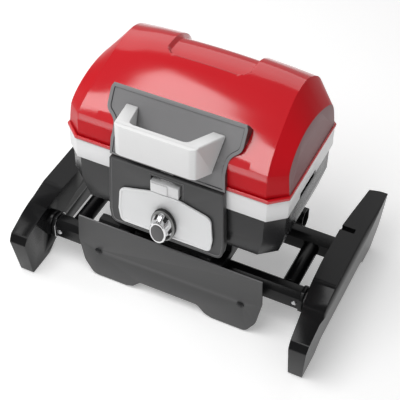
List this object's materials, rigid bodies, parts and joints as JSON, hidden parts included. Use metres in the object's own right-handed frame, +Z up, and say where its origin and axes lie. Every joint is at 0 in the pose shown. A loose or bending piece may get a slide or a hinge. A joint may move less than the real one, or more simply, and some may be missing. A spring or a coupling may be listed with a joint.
{
  "type": "portable tabletop grill",
  "caption": "Portable tabletop gas grill with a domed hinged lid, front knob and a folding stand of crossed telescoping legs on two foot bars.",
  "frame": {"origin": "on the ground, below the middle of the firebox", "axes": "+X to the right seen from the front, +Y to the back, +Z up"},
  "size_m": [0.6224, 0.4067, 0.4801],
  "materials": {
    "red_gloss_paint": "glossy red enamel",
    "black_gloss_paint": "satin black enamel",
    "silver_paint": "silver paint",
    "dark_grey_plastic": "satin dark grey moulding",
    "light_grey_plastic": "satin light grey moulding",
    "black_satin_plastic": "satin black moulding",
    "stand_black_plastic": "matt black",
    "chrome": "bright plated",
    "brass": "machined brass",
    "cast_iron": "matt enamelled iron",
    "steel": "satin steel"
  },
  "bodies": {
    "base": {"body_shell": "black_gloss_paint", "rim_band": "silver_paint", "fire_bowl": "steel", "front_panel": "black_satin_plastic", "control_bezel": "silver_paint", "valve_body": "brass", "gas_pipe": "steel", "gas_inlet": "brass", "burner_tube": "steel", "heat_plate": "steel", "cooking_grate": "cast_iron", "igniter_electrode": "steel", "hinge_bracket_left": "black_gloss_paint", "hinge_bracket_right": "black_gloss_paint", "hinge_pin_left": "steel", "hinge_pin_right": "steel", "front_plate": "dark_grey_plastic", "rear_plate": "dark_grey_plastic", "frame_rail_left": "stand_black_plastic", "frame_rail_right": "stand_black_plastic", "hanger_bracket_front": "stand_black_plastic", "hanger_bracket_rear": "stand_black_plastic", "pivot_pin_left_leg_front": "black_gloss_paint", "pivot_pin_left_leg_rear": "black_gloss_paint", "pivot_pin_right_leg_front": "black_gloss_paint", "pivot_pin_right_leg_rear": "black_gloss_paint", "plate_rivet_front": "black_gloss_paint", "plate_rivet_rear": "black_gloss_paint"},
    "lid": {"lid_shell": "red_gloss_paint", "handle_plate": "dark_grey_plastic", "lid_handle": "light_grey_plastic", "handle_screw_left": "chrome", "handle_screw_right": "chrome", "hinge_leaf_left": "black_gloss_paint", "hinge_leaf_right": "black_gloss_paint"},
    "knob": {"knob_dial": "dark_grey_plastic", "knob_grip": "chrome", "knob_cap": "dark_grey_plastic", "valve_stem": "brass"},
    "latch": {"latch_slide": "silver_paint"},
    "drip_tray": {"drip_tray": "steel"},
    "left_leg": {"outer_tube_left_front": "stand_black_plastic", "outer_tube_left_rear": "stand_black_plastic", "collar_left": "chrome", "cross_tube_left": "stand_black_plastic", "stop_screw_left": "chrome"},
    "left_foot": {"inner_tube_left_front": "stand_black_plastic", "inner_tube_left_rear": "stand_black_plastic", "foot_bar_left": "stand_black_plastic"},
    "right_leg": {"outer_tube_right_front": "stand_black_plastic", "outer_tube_right_rear": "stand_black_plastic", "collar_right": "chrome", "cross_tube_right": "stand_black_plastic", "stop_screw_right": "chrome"},
    "right_foot": {"inner_tube_right_front": "stand_black_plastic", "inner_tube_right_rear": "stand_black_plastic", "foot_bar_right": "stand_black_plastic"}
  },
  "joints": [
    {"name": "lid_hinge", "type": "hinge", "parent": "base", "child": "lid", "pos_m": [0, 0.141, 0.3455], "axis": [-1, 0, 0], "range_deg": [0, 95]},
    {"name": "knob_turn", "type": "hinge", "parent": "base", "child": "knob", "pos_m": [0, -0.1498, 0.229], "axis": [0, -1, 0], "range_deg": [0, 135]},
    {"name": "latch_lift", "type": "slide", "parent": "base", "child": "latch", "axis": [0, 0, 1], "range_m": [0, 0.007]},
    {"name": "drip_tray_slide", "type": "slide", "parent": "base", "child": "drip_tray", "axis": [0, 1, 0], "range_m": [0, 0.15]},
    {"name": "left_leg_fold", "type": "hinge", "parent": "base", "child": "left_leg", "pos_m": [0.15, 0, 0.072], "axis": [0, -1, 0], "range_deg": [0, 50]},
    {"name": "right_leg_fold", "type": "hinge", "parent": "base", "child": "right_leg", "pos_m": [-0.15, 0, 0.072], "axis": [0, 1, 0], "range_deg": [0, 50]},
    {"name": "left_foot_slide", "type": "slide", "parent": "left_leg", "child": "left_foot", "axis": [-1, 0, 0], "range_m": [0, 0.22]},
    {"name": "right_foot_slide", "type": "slide", "parent": "right_leg", "child": "right_foot", "axis": [1, 0, 0], "range_m": [0, 0.22]}
  ]
}
